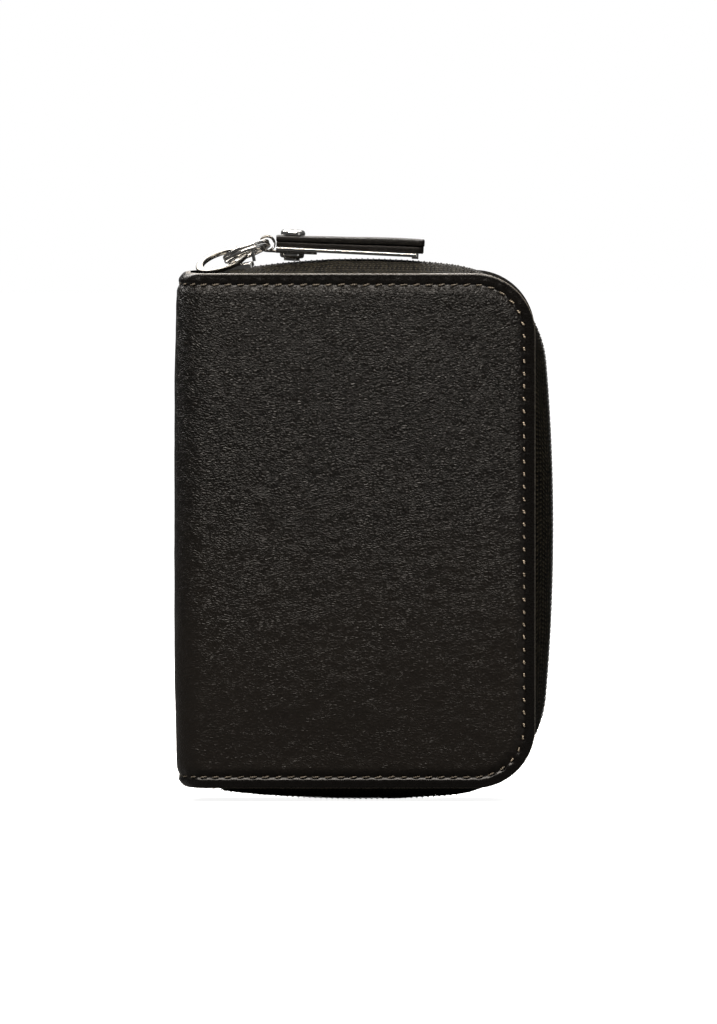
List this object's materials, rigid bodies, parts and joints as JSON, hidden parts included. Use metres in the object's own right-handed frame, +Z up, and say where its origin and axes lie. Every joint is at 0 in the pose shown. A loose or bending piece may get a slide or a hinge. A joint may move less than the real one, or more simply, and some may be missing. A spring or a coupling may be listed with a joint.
{
  "type": "coin purse",
  "caption": "Upright zip-around leather coin purse with a soft folding spine, gusseting zip tapes, card and coin pockets, and a riveted leather pull tab on linked rings.",
  "frame": {"origin": "centre of the back cover's flat outer face, at half the leather's height and half its width", "axes": "+Z is up along the purse's height, +Y is out of the back cover, the front cover faces -Y, and the spine is on the -X side"},
  "size_m": [0.0803, 0.024, 0.1217],
  "materials": {
    "outer_leather": "satin",
    "thread": "matt",
    "board": "matt",
    "lining": "matt",
    "tape": "matt",
    "coil": "satin",
    "nickel": "polished",
    "pocket_leather": "satin",
    "tab_leather": "satin"
  },
  "bodies": {
    "back": {"back_cover": "outer_leather", "back_board": "board", "back_lining": "lining", "back_zip_tape": "tape", "back_zip_coil": "coil", "back_tape_stops": "nickel", "back_thread": "thread", "slip_pocket": "pocket_leather", "coin_pocket_gusset": "pocket_leather", "coin_pocket_front": "pocket_leather"},
    "spine": {"spine_cover": "outer_leather", "spine_board": "board", "spine_lining": "lining", "spine_thread": "thread"},
    "front": {"front_cover": "outer_leather", "front_board": "board", "front_lining": "lining", "front_zip_tape": "tape", "front_zip_coil": "coil", "front_tape_stops": "nickel", "front_thread": "thread", "card_pocket_1": "pocket_leather", "card_pocket_2": "pocket_leather", "card_pocket_3": "pocket_leather"},
    "slider": {"slider_body": "nickel", "slider_crown": "nickel"},
    "pull_ring": {"pull_ring": "nickel"},
    "split_ring": {"split_ring": "nickel"},
    "tab": {"tab_strip": "tab_leather", "tab_bar": "nickel", "tab_leaf": "nickel", "rivet_post": "nickel", "rivet_cap": "nickel"}
  },
  "joints": [
    {"name": "back_fold", "type": "hinge", "parent": "back", "child": "spine", "pos_m": [-0.03685, -0.0014, 0], "axis": [0, 0, -1], "range_deg": [0, 90]},
    {"name": "front_fold", "type": "hinge", "parent": "spine", "child": "front", "pos_m": [-0.03685, -0.0226, 0], "axis": [0, 0, -1], "range_deg": [0, 90]},
    {"name": "slider_travel", "type": "hinge", "parent": "back", "child": "slider", "pos_m": [0.001, -0.012, -0.1034], "axis": [0, 1, 0], "range_deg": [0, 14], "deforming": ["back_zip_coil", "front_zip_coil"]},
    {"name": "ring_swing", "type": "hinge", "parent": "slider", "child": "pull_ring", "pos_m": [-0.02394, -0.012, 0.05892], "axis": [0, 1, 0], "range_deg": [0, 24]},
    {"name": "link_swing", "type": "hinge", "parent": "pull_ring", "child": "split_ring", "pos_m": [-0.0259, -0.012, 0.0588], "axis": [0, -1, 0], "range_deg": [0, 24]},
    {"name": "tab_swing", "type": "hinge", "parent": "split_ring", "child": "tab", "pos_m": [-0.019, -0.012, 0.061], "axis": [0, -1, 0], "range_deg": [0, 110]}
  ],
  "couplings": [
    {"joint": "front_fold", "follows": "back_fold", "ratio": 1},
    {"joint": "link_swing", "follows": "ring_swing", "ratio": 1}
  ]
}
